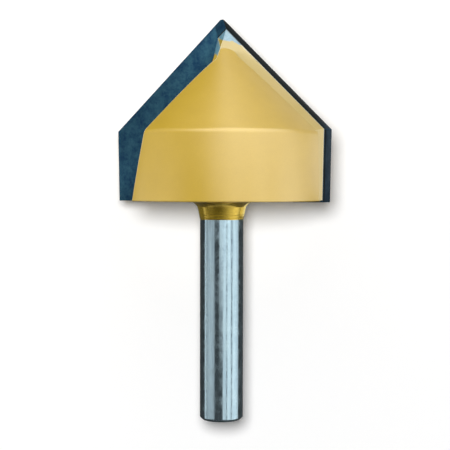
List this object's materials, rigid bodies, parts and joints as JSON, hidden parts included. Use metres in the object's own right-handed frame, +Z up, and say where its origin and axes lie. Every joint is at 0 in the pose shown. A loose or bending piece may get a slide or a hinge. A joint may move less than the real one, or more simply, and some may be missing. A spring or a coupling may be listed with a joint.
{
  "type": "v groove router bit",
  "caption": "V groove router bit: gold coated turned head with brazed carbide cutting tips on a round steel shank, lying on its side.",
  "frame": {"origin": "centre of the bounding box on the surface that the bit lies on", "axes": "+Y along the tool's axis from the shank's end to the point of the V, +Z up, +X to the right seen from above with the point away"},
  "size_m": [0.0296, 0.0554, 0.0291],
  "materials": {
    "coated_steel": "satin",
    "carbide": "satin",
    "braze": "satin"
  },
  "bodies": {
    "root": {"cutter_body": "coated_steel", "right_carbide_tip": "carbide", "left_carbide_tip": "carbide", "right_braze_layer": "braze", "left_braze_layer": "braze"}
  },
  "joints": []
}
